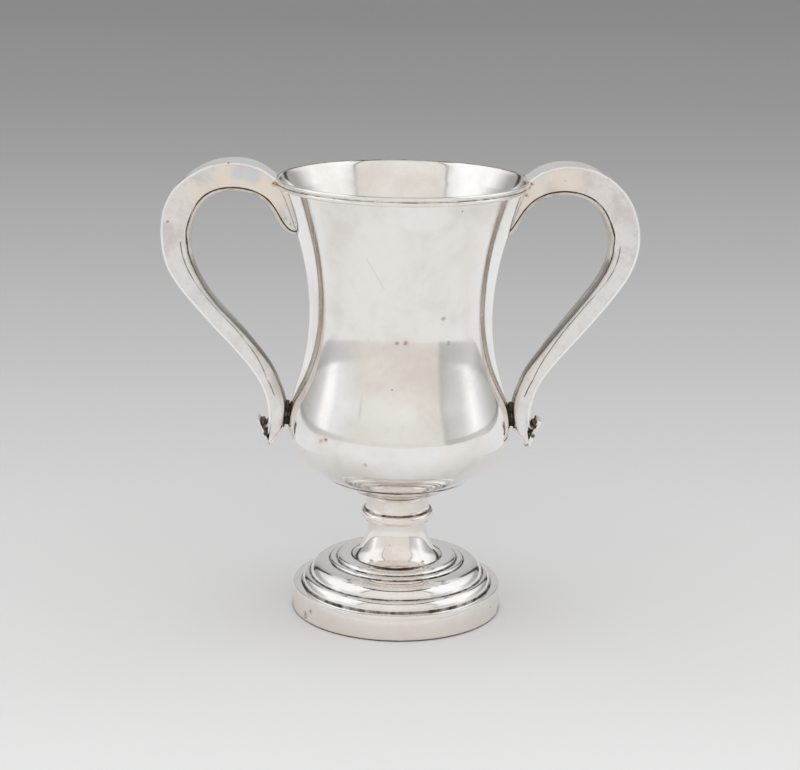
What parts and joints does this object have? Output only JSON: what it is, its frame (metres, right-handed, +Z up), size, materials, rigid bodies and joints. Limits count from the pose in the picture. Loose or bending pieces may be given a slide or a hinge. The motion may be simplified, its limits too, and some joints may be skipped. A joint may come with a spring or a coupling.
{
  "type": "two-handled cup",
  "caption": "Tall waisted drinking cup in silver with a low rounded belly, two hollow scroll handles, a short knopped stem and a stepped domed foot.",
  "frame": {"origin": "middle of the foot's bottom edge, on the surface that the cup stands on", "axes": "+Z up along the cup's axis; X through both handles; Y from front to back"},
  "size_m": [0.1878, 0.1, 0.1827],
  "materials": {
    "polished_silver": "polished silver, softened by fine scratches and a few small dents",
    "stem_silver": "polished silver with tarnish in the grooves",
    "foot_silver": "polished silver, slightly duller and warmer, with tarnish in the steps",
    "handle_silver": "softly polished silver sheet with brown seams",
    "tarnished_silver": "dark tarnished silver and old solder"
  },
  "bodies": {
    "root": {"bowl": "polished_silver", "rim_wire": "polished_silver", "bowl_dish": "polished_silver", "stem_spool": "stem_silver", "knop_ring": "stem_silver", "stem": "stem_silver", "foot_dome": "foot_silver", "foot_band": "foot_silver", "left_outer_strip": "handle_silver", "left_front_cheek": "handle_silver", "left_back_cheek": "handle_silver", "left_inner_strip": "handle_silver", "left_toe_strip": "handle_silver", "left_terminal_plate": "handle_silver", "left_spacer_lug": "tarnished_silver", "right_outer_strip": "handle_silver", "right_front_cheek": "handle_silver", "right_back_cheek": "handle_silver", "right_inner_strip": "handle_silver", "right_toe_strip": "handle_silver", "right_terminal_plate": "handle_silver", "right_spacer_lug": "tarnished_silver"}
  },
  "joints": []
}
